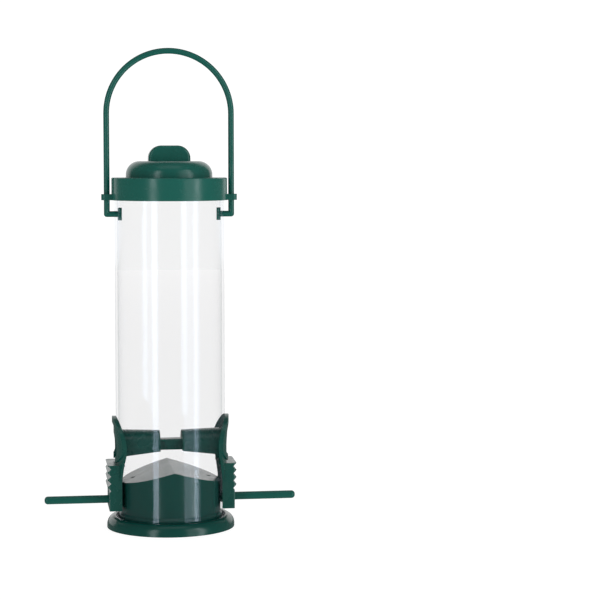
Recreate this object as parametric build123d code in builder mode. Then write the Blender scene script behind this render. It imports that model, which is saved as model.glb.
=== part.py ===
"""Hanging seed feeder: a clear tube with two feeding ports, a push-in base, a lid and a bail.

Millimetres. +Z is up, X runs along the perches and the origin is the centre of the foot.
"""
from build123d import *
import os

# ---- driving sizes -------------------------------------------------------------------------
tube_od = 65.0
tube_wall = 1.6
tube_length = 201.3

tray_overhang = 5.5  # from the tube's outside to the flared rim that the feeder stands on
tray_floor = 5.0  # height of the seat under the tube's lower end
tray_lip = 6.9  # height of the rim where it meets the tube
tray_skin = 1.5
rim_edge = 1.6  # upright edge of the rim, at the foot
foot_width = 1.6
plug_wall = 1.6
plug_gap = 1.2  # between the plug and the tube's bore
collar_height = 4.5  # snug band of the plug, above the tray's floor
collar_fit = 0.15
eaves_height = 27.5  # low edges of the seed roof, at the two ports
ridge_rise = 8.6  # ridge of the seed roof, above the eaves
drain_diameter = 3.0
drain_inset = 7.0  # from the plug's side to the drain's centre

lid_fit = 0.35  # around the tube
lid_gap = 0.3  # over the tube's end
skirt_wall = 1.35
skirt_depth = 13.3
skirt_round = 0.6
deck_thickness = 1.5
dome_radius = 25.6
dome_height = 9.7
dome_round = 8.2
dome_wall = 1.5
knob_width = 24.8
knob_depth = 10.0
knob_height = 9.2
knob_round = 7.6
knob_edge = 1.7

rod_diameter = 3.5
leg_gap = 0.9  # between the lid's skirt and the bail's leg
pivot_drop = 8.2  # from the lid's lower edge down to the bail's pivot
leg_length = 59.1  # from the pivot up to where the bow begins
pivot_fit = 0.1
head_length = 7.5
head_width = 2.4
head_thickness = 2.3
head_gap = 0.5  # between the tube's bore and the head
head_slot_fit = 0.2
lug_height = 3.6
lug_wall = 1.25
lug_fit = 0.3
lug_reach = 3.4  # front and back of the bail's leg, from the leg's centre
lug_round = 2.2

perch_diameter = 4.7
perch_reach = 75.0  # from the tube's axis to the perch's tip
perch_insert = 9.0  # depth of the perch inside the plug
perch_height = 16.9
perch_fit = 0.1
boss_wall = 1.6

shield_radius = 18.2  # round upper end of a port's shield
shield_centre = 48.5  # height of that round end's centre
shield_thickness = 1.3
tail_half_width = 9.4
rim_drop = 9.6  # from the shield's centre down to the rim's lowest point
rim_width = 3.6
rim_rise = 0.9  # of the rim, over the shield
seat_fit = 0.08  # between the shield and the tube

mouth_half_width = 8.9
mouth_centre = 48.3
frame_wall = 1.3
frame_depth = 1.2  # of the mouth's frame, inside the bore
hole_fit = 0.2  # around whatever passes through the tube

hood_reach = 6.6  # distance from the tube's axis to the hood's end
hood_end_scale = 0.92
hood_side_outer = 43.5  # lower edge of the hood's sides at the tube
hood_side_inner = 46.1  # the same at the hood's end
hood_wall = 1.3
neck_width = 9.0
neck_height = 6.4
neck_centre = 49.4
neck_gap = 0.05  # from the tube's axis to a neck's end face
neck_round = 1.2
peg_radius = 1.3
peg_length = 4.0
peg_offset = 2.2
peg_fit = 0.05
socket_depth = 4.4

block_half_width = 13.5
block_top = 38.9  # the ledge in front of the mouth
block_bottom = 11.7
block_face = 4.6  # how far the block's lower face stands off the tube
tooth_count = 4
tooth_pitch = 4.3
tooth_depth = 2.2
tooth_rise = 1.2  # of a tooth's tip, over the block's lower face
block_round = 2.0

# ---- sizes that follow ---------------------------------------------------------------------
tube_radius = tube_od / 2
bore_radius = tube_radius - tube_wall
tube_top = tray_floor + tube_length
plug_radius = bore_radius - plug_gap
ridge_height = eaves_height + ridge_rise
skirt_inner = tube_radius + lid_fit
skirt_outer = skirt_inner + skirt_wall
deck_under = tube_top + lid_gap
deck_top = deck_under + deck_thickness
skirt_bottom = deck_top - skirt_depth
dome_top = deck_top + dome_height
rod_radius = rod_diameter / 2
leg_x = skirt_outer + leg_gap + rod_radius
lug_outer = leg_x + rod_radius + lug_fit + lug_wall
pivot_z = skirt_bottom - pivot_drop
spring_z = pivot_z + leg_length
perch_radius = perch_diameter / 2
boss_radius = perch_radius + perch_fit + boss_wall
shield_inner = tube_radius + seat_fit
shield_outer = shield_inner + shield_thickness
frame_half_width = mouth_half_width + frame_wall
sill_bottom = block_top - frame_wall
flare_centre = tube_radius + 1.0
tray_radius = tube_radius + tray_overhang
big = 4 * tray_radius  # longer than anything it cuts


def save(part, name):
    """Label a finished part and write it as one STEP file."""
    part.label = name
    os.makedirs("parts", exist_ok=True)
    export_step(part, f"parts/{name}.step")


def make_arch(half_width, bottom, centre):
    """Face of an arch: straight sides and a half-round top, drawn across (Y) and up (Z)."""
    with BuildSketch(mode=Mode.PRIVATE) as arch:
        with BuildLine():
            left_foot = (-half_width, bottom)
            right_foot = (half_width, bottom)
            left_spring = (-half_width, centre)
            right_spring = (half_width, centre)
            Polyline(left_spring, left_foot, right_foot, right_spring)
            ThreePointArc(right_spring, (0, centre + half_width), left_spring)
        make_face()
    return arch.sketch


def facing(distance, side=1):
    """Plane that looks out along +X or -X (side 1 or -1), at a distance from the tube's axis."""
    return Plane(origin=(side * distance, 0, 0), x_dir=(0, side, 0), z_dir=(side, 0, 0))


across = facing(0)  # Y across, Z up, normal +X
lengthwise = Plane.XZ  # X across, Z up, normal -Y


# ---- tube ----------------------------------------------------------------------------------
with BuildPart() as tube:
    with BuildSketch(Plane.XY.offset(tray_floor)):
        Circle(tube_radius)
        Circle(bore_radius, mode=Mode.SUBTRACT)
    extrude(amount=tube_length)
    # one opening for each port's mouth and hood
    with BuildSketch(across):
        add(make_arch(frame_half_width + hole_fit, sill_bottom - hole_fit, mouth_centre))
    extrude(amount=big / 2, both=True, mode=Mode.SUBTRACT)
    # perch holes
    with BuildSketch(across):
        with Locations((0, perch_height)):
            Circle(perch_radius + hole_fit)
    extrude(amount=big / 2, both=True, mode=Mode.SUBTRACT)
    # bail holes: a round bearing with a level slot that lets the bail's head through
    with BuildSketch(across):
        with Locations((0, pivot_z)):
            Circle(rod_radius + pivot_fit)
            SlotOverall(head_length + 2 * head_slot_fit, head_width + 2 * head_slot_fit)
    extrude(amount=big / 2, both=True, mode=Mode.SUBTRACT)
save(tube.part, "clear_tube")


# ---- base: standing tray, plug with a gable roof that sheds the seed, perch bosses -----------
plug_inner = plug_radius - plug_wall
roof_slope = ridge_rise / plug_radius
collar_radius = bore_radius - collar_fit
lip_radius = tube_radius + collar_fit
boss_end = plug_radius - perch_insert - boss_wall


def make_slopes(drop):
    """Solid over a gable roof whose ridge runs front to back, drop below the outer roof."""
    eaves = ridge_height - drop - roof_slope * big
    with BuildPart(mode=Mode.PRIVATE) as over_roof:
        with BuildSketch(lengthwise):
            with BuildLine():
                Polyline(
                    (-big, eaves),
                    (0, ridge_height - drop),
                    (big, eaves),
                    (big, big),
                    (-big, big),
                    close=True,
                )
            make_face()
        extrude(amount=big, both=True)
    return over_roof.part


with BuildPart() as plug_hollow:
    with BuildSketch():
        Circle(plug_inner)
    extrude(amount=ridge_height)
    add(make_slopes(plug_wall), mode=Mode.SUBTRACT)

with BuildPart() as base:
    with BuildSketch(Plane.XZ):
        with BuildLine():
            Polyline((0, 0), (tray_radius, 0), (tray_radius, rim_edge))
            flare = EllipticalCenterArc(
                (flare_centre, rim_edge),
                tray_radius - flare_centre,
                tray_lip - rim_edge,
                start_angle=0,
                arc_size=90,
            )
            Polyline(
                flare @ 1,
                (lip_radius, tray_lip),
                (lip_radius, tray_floor),
                (collar_radius, tray_floor),
                (collar_radius, tray_floor + collar_height - plug_gap),
                (plug_radius, tray_floor + collar_height),
                (plug_radius, ridge_height),
                (0, ridge_height),
                (0, 0),
            )
        make_face()
    revolve()
    add(make_slopes(0), mode=Mode.SUBTRACT)
    # hollow under the plug, and a ring-shaped recess that leaves the foot standing
    add(plug_hollow.part, mode=Mode.SUBTRACT)
    with BuildSketch():
        Circle(tray_radius - foot_width)
        Circle(collar_radius, mode=Mode.SUBTRACT)
    extrude(amount=tray_floor - tray_skin, mode=Mode.SUBTRACT)
    # a blind boss for each perch, with its socket
    for side in (1, -1):
        with BuildSketch(facing(boss_end, side)):
            with Locations((0, perch_height)):
                Circle(boss_radius)
        extrude(amount=plug_inner - boss_end + plug_wall / 2)
        with BuildSketch(facing(boss_end + boss_wall, side)):
            with Locations((0, perch_height)):
                Circle(perch_radius + perch_fit)
        extrude(amount=big, mode=Mode.SUBTRACT)
        with Locations((side * (plug_radius - drain_inset), 0, ridge_height)):
            Hole(drain_diameter / 2, depth=ridge_rise + plug_wall + drain_diameter)
save(base.part, "base_tray")


# ---- lid: skirt, deck, hollow dome with a thumb grip, and two open-backed lugs for the bail ---
knob_top = dome_top + knob_height
dome_inner = dome_radius - dome_wall


def make_grip(width, depth, bottom, top, corner):
    """Flat grip: an upright tab with two large rounded upper corners."""
    with BuildPart(mode=Mode.PRIVATE) as grip:
        with BuildSketch(lengthwise):
            with Locations((0, (bottom + top) / 2)):
                outline = Rectangle(width, top - bottom)
            fillet(outline.vertices().group_by(Axis.Y)[-1], corner)
        extrude(amount=depth / 2, both=True)
    return grip.part


with BuildPart() as lid_hollow:
    with BuildSketch(Plane.XY.offset(skirt_bottom)):
        Circle(skirt_inner)
    extrude(amount=deck_under - skirt_bottom)
    with BuildSketch(Plane.XY.offset(deck_under)):
        Circle(dome_inner)
    extrude(amount=dome_top - dome_wall - deck_under)
    fillet(lid_hollow.faces().sort_by(Axis.Z)[-1].edges(), dome_round - dome_wall)
    add(
        make_grip(
            knob_width - 2 * dome_wall,
            knob_depth - 2 * dome_wall,
            dome_top - 2 * dome_wall,
            knob_top - dome_wall,
            knob_round - dome_wall,
        )
    )

with BuildPart() as lid:
    with BuildSketch(Plane.XY.offset(deck_top)):
        Circle(dome_radius)
    extrude(amount=dome_height)
    fillet(lid.faces().sort_by(Axis.Z)[-1].edges(), dome_round)
    add(make_grip(knob_width, knob_depth, dome_top - dome_wall, knob_top, knob_round))
    grip_faces = lid.faces().filter_by(Axis.Y)
    fillet(grip_faces.edges().filter_by(lambda edge: edge.center().Z > dome_top + 0.1), knob_edge)
    with BuildSketch(Plane.XY.offset(skirt_bottom)):
        Circle(skirt_outer)
    extrude(amount=skirt_depth)
    deck_edges = lid.edges().filter_by(GeomType.CIRCLE).filter_by_position(Axis.Z, deck_top, deck_top)
    fillet(deck_edges.sort_by(SortBy.RADIUS)[-1], skirt_round)
    # open-backed lugs: a front wall and an outer wall round each leg of the bail
    for side in (1, -1):
        with BuildSketch(Plane.XY.offset(skirt_bottom)) as lug:
            with Locations((side * (skirt_outer + lug_outer) / 2 - side * skirt_wall / 2, 0)):
                Rectangle(lug_outer - skirt_outer + skirt_wall, 2 * lug_reach)
            outer_corners = lug.vertices().group_by(Axis.X)[-1 if side > 0 else 0]
            fillet(outer_corners, lug_round)
            with Locations((side * leg_x, 0)):
                Circle(rod_radius + lug_fit, mode=Mode.SUBTRACT)
            with Locations((side * leg_x, lug_reach / 2)):
                Rectangle(2 * (rod_radius + lug_fit), lug_reach, mode=Mode.SUBTRACT)
        extrude(amount=lug_height)
    add(lid_hollow.part, mode=Mode.SUBTRACT)
save(lid.part, "lid")


# ---- bail: one moulded rod with a bow, two legs, two inward stubs and their T heads ----------
head_outer = bore_radius - head_gap  # face of a head that looks at the tube's wall

with BuildPart() as bail:
    with BuildLine() as bow:
        ThreePointArc((-leg_x, 0, spring_z), (0, 0, spring_z + leg_x), (leg_x, 0, spring_z))
    with BuildSketch(Plane(origin=bow.line @ 0, z_dir=bow.line % 0)):
        Circle(rod_radius)
    sweep(path=bow.line)
    for side in (1, -1):
        with BuildSketch(Plane.XY.offset(pivot_z)):
            with Locations((side * leg_x, 0)):
                Circle(rod_radius)
        extrude(amount=leg_length)
        with Locations((side * leg_x, 0, pivot_z)):
            Sphere(rod_radius)
        with BuildSketch(facing(head_outer - head_thickness / 2, side)):
            with Locations((0, pivot_z)):
                Circle(rod_radius)
        extrude(amount=leg_x - head_outer + head_thickness / 2)
        with BuildSketch(facing(head_outer - head_thickness, side)):
            with Locations((0, pivot_z)):
                SlotOverall(head_length, head_width, rotation=90)
        extrude(amount=head_thickness)
save(bail.part, "bail")


# ---- feeding port: shield, rim, mouth, hood and toothed perch block in one moulding ---------
hood_start = bore_radius - frame_depth + 0.3
block_outer = tube_radius + block_face + tooth_rise
hood_slope = (hood_side_inner - hood_side_outer) / (hood_start - hood_reach)


def make_shell(inner, outer):
    """Upright ring round the tube's axis, as tall as the port."""
    with BuildPart(mode=Mode.PRIVATE) as shell:
        with BuildSketch(Plane.XY.offset(block_bottom)):
            Circle(outer)
            Circle(inner, mode=Mode.SUBTRACT)
        extrude(amount=shield_centre + shield_radius)
    return shell.part


def make_hood(inset, end):
    """Tapered arch that runs inward from the mouth to a distance from the tube's axis."""
    reach = (hood_start - end) / (hood_start - hood_reach)
    end_half_width = (frame_half_width - inset) * (1 - (1 - hood_end_scale) * reach)
    with BuildPart(mode=Mode.PRIVATE) as hood_body:
        with BuildSketch(facing(hood_start)):
            add(make_arch(frame_half_width - inset, sill_bottom, mouth_centre))
        with BuildSketch(facing(end)):
            add(make_arch(end_half_width, sill_bottom, mouth_centre))
        loft()
    return hood_body.part


with BuildPart() as shield:
    with BuildSketch(across) as shield_outline:
        Circle(shield_radius)
        with BuildLine():
            Polyline(
                (-shield_radius, 0),
                (-tail_half_width, block_bottom - shield_centre),
                (tail_half_width, block_bottom - shield_centre),
                (shield_radius, 0),
                close=True,
            )
        make_face()
    extrude(amount=big)
shield_part = Pos(0, 0, shield_centre) * shield.part & make_shell(shield_inner, shield_outer)

with BuildPart() as rim:
    for inset, cut in ((0, Mode.ADD), (rim_width, Mode.SUBTRACT)):
        with BuildSketch(across, mode=Mode.PRIVATE) as oval:
            Circle(shield_radius - inset)
            with Locations((0, -big / 2)):
                Rectangle(big, big, mode=Mode.SUBTRACT)
            Ellipse(shield_radius - inset, rim_drop - inset)
        extrude(oval.sketch, amount=big, mode=cut)
rim_part = Pos(0, 0, shield_centre) * rim.part & make_shell(shield_inner, shield_outer + rim_rise)

with BuildPart() as block:
    with BuildSketch(Plane.XY.offset(block_bottom)) as plan:
        Rectangle(2 * block_outer, 2 * block_half_width)
        fillet(plan.vertices(), block_round)
        Circle(shield_inner, mode=Mode.SUBTRACT)
        with Locations((-block_outer, 0)):
            Rectangle(2 * block_outer, big, mode=Mode.SUBTRACT)
    extrude(amount=block_top - block_bottom)
    # sawteeth down the face, over a plain lower face
    with BuildSketch(lengthwise):
        with BuildLine():
            points = []
            for tooth in range(tooth_count):
                tip = block_top - tooth * tooth_pitch
                points.append((block_outer, tip))
                points.append((block_outer - tooth_depth, tip - tooth_pitch / 2))
            foot = block_top - tooth_count * tooth_pitch
            points.append((block_outer - tooth_rise, foot + tooth_pitch / 4))
            points.append((block_outer - tooth_rise, block_bottom - 1))
            points.append((block_outer + 1, block_bottom - 1))
            points.append((block_outer + 1, block_top))
            Polyline(*points, close=True)
        make_face()
    extrude(amount=big, both=True, mode=Mode.SUBTRACT)

with BuildPart() as hood:
    add(make_hood(0, hood_reach))
    add(make_hood(hood_wall, hood_reach + hood_wall), mode=Mode.SUBTRACT)
    # open underneath
    with BuildSketch(lengthwise):
        with BuildLine():
            Polyline(
                (0, hood_side_outer + hood_slope * hood_start),
                (hood_start, hood_side_outer),
                (hood_start, 0),
                (0, 0),
                close=True,
            )
        make_face()
    extrude(amount=big, both=True, mode=Mode.SUBTRACT)
    # neck that meets the other port's neck, with a peg and a socket
    with BuildSketch(facing(neck_gap)):
        with Locations((0, neck_centre)):
            RectangleRounded(neck_width, neck_height, neck_round)
    extrude(amount=hood_reach + hood_wall / 2 - neck_gap)
    with BuildSketch(facing(neck_gap - peg_length)):
        with Locations((peg_offset, neck_centre)):
            Circle(peg_radius)
    extrude(amount=peg_length + hood_wall)
    with BuildSketch(facing(0)):
        with Locations((-peg_offset, neck_centre)):
            Circle(peg_radius + peg_fit)
    extrude(amount=socket_depth, mode=Mode.SUBTRACT)

with BuildPart() as port:
    add(shield_part)
    add(rim_part)
    add(block.part)
    with BuildSketch(facing(0), mode=Mode.PRIVATE) as frame_face:
        add(make_arch(frame_half_width, sill_bottom, mouth_centre))
    frame_prism = extrude(frame_face.sketch, amount=big, mode=Mode.PRIVATE)
    add(frame_prism & make_shell(bore_radius - frame_depth, shield_outer))
    with BuildSketch(facing(0)):
        add(make_arch(mouth_half_width, block_top, mouth_centre))
    extrude(amount=big, mode=Mode.SUBTRACT)
    with BuildSketch(facing(0)):
        with Locations((0, perch_height)):
            Circle(perch_radius + perch_fit)
    extrude(amount=big, mode=Mode.SUBTRACT)
    add(hood.part)
save(port.part, "feeding_port_right")
save(Rot(0, 0, 180) * port.part, "feeding_port_left")


# ---- perches -------------------------------------------------------------------------------
perch_start = plug_radius - perch_insert + perch_fit


def make_perch(side):
    """Round peg, domed at its free end and chamfered where it enters the plug."""
    with BuildPart() as perch:
        with BuildSketch(facing(perch_start, side)):
            with Locations((0, perch_height)):
                Circle(perch_radius)
        extrude(amount=perch_reach - perch_start)
        ends = perch.edges().filter_by(GeomType.CIRCLE).sort_by(Axis.X)
        inner_end, outer_end = (ends[0], ends[-1]) if side > 0 else (ends[-1], ends[0])
        fillet(outer_end, 0.85 * perch_radius)
        chamfer(inner_end, 0.5)
    return perch


save(make_perch(-1).part, "perch_left")
save(make_perch(1).part, "perch_right")
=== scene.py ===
import math
import bpy
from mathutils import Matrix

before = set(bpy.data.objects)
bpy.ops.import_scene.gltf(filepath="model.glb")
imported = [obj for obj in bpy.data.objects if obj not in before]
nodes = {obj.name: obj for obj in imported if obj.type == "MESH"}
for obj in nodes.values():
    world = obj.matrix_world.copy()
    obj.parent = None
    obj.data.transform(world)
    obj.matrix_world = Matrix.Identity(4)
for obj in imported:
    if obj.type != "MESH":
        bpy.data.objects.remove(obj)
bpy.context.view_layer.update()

scene = bpy.context.scene
scene.view_settings.view_transform = "Standard"
print("frame loaded:", len(nodes), "moulded pieces")


# sRGB to linear: c / 12.92 when dark, otherwise ((c + 0.055) / 1.055) to the power 2.4
def linearColour(code):
    channels = [int(code[i:i + 2], 16) / 255 for i in (1, 3, 5)]
    return tuple(c / 12.92 if c <= 0.04045 else ((c + 0.055) / 1.055) ** 2.4 for c in channels) + (1.0,)


# adds a node, sets its properties and unlinked inputs, and links the rest
def addNode(tree, kind, props=None, values=None, links=None):
    node = tree.nodes.new(kind)
    for name, value in (props or {}).items():
        setattr(node, name, value)
    for socket, value in (values or {}).items():
        node.inputs[socket].default_value = value
    for socket, source in (links or {}).items():
        tree.links.new(source, node.inputs[socket])
    return node


def newMaterial(name):
    material = bpy.data.materials.new(name)
    material.use_nodes = True
    material.node_tree.nodes.clear()
    return material, material.node_tree


def dress(nodeName, material):
    piece = nodes[nodeName]
    if not piece.material_slots:
        piece.data.materials.append(material)
    for slot in piece.material_slots:
        slot.material = material


cloudRange = (0.3, 0.7)  # the part of a noise that holds nearly all its values
grainDepth = 0.1  # of the grain's own size
polypropyleneIor = 1.49

# Injection-moulded green polypropylene. Broad flow marks a few centimetres long shift the
# colour a little, a finer cloud changes the gloss, and a half-millimetre grain lifts the surface.
# The mould's own texture is finer still: half a millimetre is the least that shows.
def mouldedPlastic(name, look):
    material, tree = newMaterial(name)
    place = addNode(tree, "ShaderNodeTexCoord")
    mapping = addNode(tree, "ShaderNodeMapping", values={"Scale": look["stretch"]},
                      links={"Vector": place.outputs["Object"]})
    flow = addNode(tree, "ShaderNodeTexNoise", values={"Scale": 1 / look["flowSize"], "Detail": 3.0},
                   links={"Vector": mapping.outputs["Vector"]})
    cloud = addNode(tree, "ShaderNodeTexNoise", values={"Scale": 1 / look["cloudSize"], "Detail": 4.0},
                    links={"Vector": mapping.outputs["Vector"]})
    grain = addNode(tree, "ShaderNodeTexNoise", values={"Scale": 1 / look["grainSize"], "Detail": 2.0},
                    links={"Vector": mapping.outputs["Vector"]})
    colour = addNode(tree, "ShaderNodeMix", props={"data_type": "RGBA"},
                     values={6: linearColour(look["dark"]), 7: linearColour(look["light"])},
                     links={0: flow.outputs["Fac"]})
    gloss = addNode(tree, "ShaderNodeMapRange",
                    values={"From Min": cloudRange[0], "From Max": cloudRange[1], "To Min": look["smooth"],
                            "To Max": look["rough"]},
                    links={"Value": cloud.outputs["Fac"]})
    relief = addNode(tree, "ShaderNodeBump",
                     values={"Strength": look["relief"], "Distance": look["grainSize"] * grainDepth},
                     links={"Height": grain.outputs["Fac"]})
    shader = addNode(tree, "ShaderNodeBsdfPrincipled",
                     values={"IOR": polypropyleneIor, "Specular IOR Level": look["shine"]},
                     links={"Base Color": colour.outputs[2], "Roughness": gloss.outputs["Result"],
                            "Normal": relief.outputs["Normal"]})
    addNode(tree, "ShaderNodeOutputMaterial", links={"Surface": shader.outputs["BSDF"]})
    return material


# Extruded clear styrene. The share that it mirrors follows Schlick's rule on both of its skins:
# f + (1 - f) times (1 - cosine of the viewing angle) to the power 5. The rest goes through.
# Faint draw lines run along the tube.
def clearTube(look):
    material, tree = newMaterial("extrudedClearStyrene")
    place = addNode(tree, "ShaderNodeTexCoord")
    mapping = addNode(tree, "ShaderNodeMapping", values={"Scale": (1.0, 1.0, look["drawStretch"])},
                      links={"Vector": place.outputs["Object"]})
    draw = addNode(tree, "ShaderNodeTexNoise", values={"Scale": 1 / look["drawSize"], "Detail": 2.0},
                   links={"Vector": mapping.outputs["Vector"]})
    relief = addNode(tree, "ShaderNodeBump", values={"Strength": look["relief"], "Distance": look["drawDepth"]},
                     links={"Height": draw.outputs["Fac"]})
    facing = addNode(tree, "ShaderNodeLayerWeight", values={"Blend": 0.5},
                     links={"Normal": relief.outputs["Normal"]})
    graze = addNode(tree, "ShaderNodeMath", props={"operation": "POWER"}, values={1: 5.0},
                    links={0: facing.outputs["Facing"]})
    mirror = addNode(tree, "ShaderNodeMapRange", values={"To Min": look["faceOn"], "To Max": look["edgeOn"]},
                     links={"Value": graze.outputs["Value"]})
    wall = addNode(tree, "ShaderNodeMix", props={"data_type": "RGBA"},
                   values={6: linearColour(look["tint"]), 7: linearColour(look["edgeTint"])},
                   links={0: graze.outputs["Value"]})
    through = addNode(tree, "ShaderNodeBsdfTransparent", links={"Color": wall.outputs[2]})
    surface = addNode(tree, "ShaderNodeBsdfPrincipled",
                      values={"Base Color": linearColour(look["sheen"]), "Roughness": look["rough"],
                              "Metallic": 1.0},
                      links={"Normal": relief.outputs["Normal"]})
    both = addNode(tree, "ShaderNodeMixShader", links={0: mirror.outputs["Result"], 1: through.outputs["BSDF"],
                                                       2: surface.outputs["BSDF"]})
    addNode(tree, "ShaderNodeOutputMaterial", links={"Surface": both.outputs["Shader"]})
    return material


# sizes in metres: flow marks, gloss clouds and grain
lidLook = {"dark": "#14554B", "light": "#195E53", "flowSize": 0.035, "cloudSize": 0.006, "grainSize": 0.0005,
           "smooth": 0.2, "rough": 0.3, "relief": 0.012, "shine": 0.34, "stretch": (1.0, 1.0, 1.0)}
baseLook = dict(lidLook, dark="#053D36", light="#07453D", smooth=0.16, rough=0.26)
portLook = dict(lidLook, dark="#05423A", light="#084A41", shine=0.5, smooth=0.22, rough=0.34, flowSize=0.02)
bailLook = dict(lidLook, relief=0.01, dark="#0C5248", light="#0F5B50", smooth=0.24, rough=0.36,
                flowSize=0.03)
# the rods' grain is drawn out along them
perchLook = dict(lidLook, relief=0.01, dark="#0A4F45", light="#0D584D", smooth=0.24, rough=0.34,
                 stretch=(0.12, 1.0, 1.0))
tubeLook = {"drawSize": 0.004, "drawDepth": 0.0002, "drawStretch": 0.02, "relief": 0.02,
            "faceOn": 0.026, "edgeOn": 0.22,
            "rough": 0.09, "tint": "#FCFCFC", "edgeTint": "#F8F9F9", "sheen": "#CBD8EE"}

dress("lid", mouldedPlastic("mouldedGreenPolypropyleneLid", lidLook))
dress("base_tray", mouldedPlastic("mouldedGreenPolypropyleneBase", baseLook))
portPlastic = mouldedPlastic("mouldedGreenPolypropylenePort", portLook)
dress("feeding_port_left", portPlastic)
dress("feeding_port_right", portPlastic)
dress("bail", mouldedPlastic("mouldedGreenPolypropyleneBail", bailLook))
perchPlastic = mouldedPlastic("extrudedGreenPolypropylenePerch", perchLook)
dress("perch_left", perchPlastic)
dress("perch_right", perchPlastic)
dress("clear_tube", clearTube(tubeLook))
print("materials made")


# flat sheet: its four corners, given counter-clockwise as seen from its lit side
def flatSheet(name, corners, material):
    mesh = bpy.data.meshes.new(name)
    mesh.from_pydata(corners, [], [(0, 1, 2, 3)])
    sheet = bpy.data.objects.new(name, mesh)
    mesh.materials.append(material)
    scene.collection.objects.link(sheet)
    return sheet


# metres, and glow as a share of full white
studio = {"floorGlow": 0.88, "floorHalf": 3.0, "wallY": 2.6, "wallHalf": 3.0, "wallTop": 3.0, "wallGlow": 1.079,
          "fill": 0.2}

paper, tree = newMaterial("whiteStudioPaper")
matt = addNode(tree, "ShaderNodeBsdfPrincipled",
               values={"Base Color": (0.27, 0.26, 0.26, 1.0), "Roughness": 0.9,
                       "Emission Color": (1.0, 1.0, 1.0, 1.0), "Emission Strength": studio["floorGlow"]})
addNode(tree, "ShaderNodeOutputMaterial", links={"Surface": matt.outputs["BSDF"]})
lit, tree = newMaterial("litStudioWall")
glow = addNode(tree, "ShaderNodeEmission", values={"Strength": studio["wallGlow"]})
addNode(tree, "ShaderNodeOutputMaterial", links={"Surface": glow.outputs["Emission"]})

half = studio["floorHalf"]
floorSheet = flatSheet("floorSheet", [(-half, -half, 0), (half, -half, 0), (half, half, 0), (-half, half, 0)],
                       paper)
floorSheet.visible_glossy = False  # the softboxes' lower ends show in the gloss, as over a cut-away table
wide, back, top = studio["wallHalf"], studio["wallY"], studio["wallTop"]
flatSheet("wallSheet", [(-wide, back, 0), (-wide, back, top), (wide, back, top), (wide, back, 0)], lit)

# the air shows white to the camera and lights the feeder more softly
world = bpy.data.worlds.new("studioAir")
scene.world = world
world.use_nodes = True
tree = world.node_tree
tree.nodes.clear()
path = addNode(tree, "ShaderNodeLightPath")
level = addNode(tree, "ShaderNodeMapRange", values={"To Min": studio["fill"], "To Max": 1.0},
                links={"Value": path.outputs["Is Camera Ray"]})
air = addNode(tree, "ShaderNodeBackground", values={"Color": (1.0, 1.0, 1.0, 1.0)},
              links={"Strength": level.outputs["Result"]})
addNode(tree, "ShaderNodeOutputWorld", links={"Surface": air.outputs["Background"]})


# metres, watts and degrees; a bearing is from the camera's side, and a drop tips the box down
softboxes = {
    "stripLeft": {"bearing": -36, "distance": 1.6, "height": 0.15, "size": (0.34, 2.4), "power": 12.0,
                  "drop": 0.0},
    "stripRight": {"bearing": 52, "distance": 1.35, "height": 0.15, "size": (0.2, 2.4), "power": 6.5,
                   "drop": 0.0},
    "panelRight": {"bearing": 43, "distance": 1.5, "height": 0.15, "size": (1.0, 2.4), "power": 11.0,
                   "drop": 0.0},
    "softboxTop": {"bearing": 0, "distance": 0.5, "height": 1.6, "size": (1.2, 0.8), "power": 2.2,
                   "drop": 72.0},
}
softboxColour = (0.9, 0.98, 1.0)  # cool daylight

for name, box in softboxes.items():
    lamp = bpy.data.lights.new(name, "AREA")
    lamp.shape = "RECTANGLE"
    lamp.size, lamp.size_y = box["size"]
    lamp.energy = box["power"]
    lamp.color = softboxColour
    lampObject = bpy.data.objects.new(name, lamp)
    bearing = math.radians(box["bearing"])
    lampObject.location = (box["distance"] * math.sin(bearing), -box["distance"] * math.cos(bearing),
                           box["height"])
    lampObject.rotation_euler = (math.pi / 2 - math.radians(box["drop"]), 0, bearing)
    scene.collection.objects.link(lampObject)
print("studio lit")

cameraSet = {"turn": -4.5, "distance": 1.13, "height": 0.22, "aimRight": 0.0776, "aimHeight": 0.135,
             "lens": 114.1}
cameraData = bpy.data.cameras.new("camera")
cameraData.lens = cameraSet["lens"]
cameraData.sensor_width = 36.0
camera = bpy.data.objects.new("camera", cameraData)
scene.collection.objects.link(camera)
turn = math.radians(cameraSet["turn"])
reach = cameraSet["distance"]
camera.location = (reach * math.sin(turn), -reach * math.cos(turn), cameraSet["height"])
aim = (cameraSet["aimRight"] * math.cos(turn), cameraSet["aimRight"] * math.sin(turn), cameraSet["aimHeight"])
sight = [aim[i] - camera.location[i] for i in range(3)]
camera.rotation_euler = (math.pi / 2 + math.atan2(sight[2], math.hypot(sight[0], sight[1])), 0,
                         math.atan2(-sight[0], sight[1]))
scene.camera = camera
print("camera set")
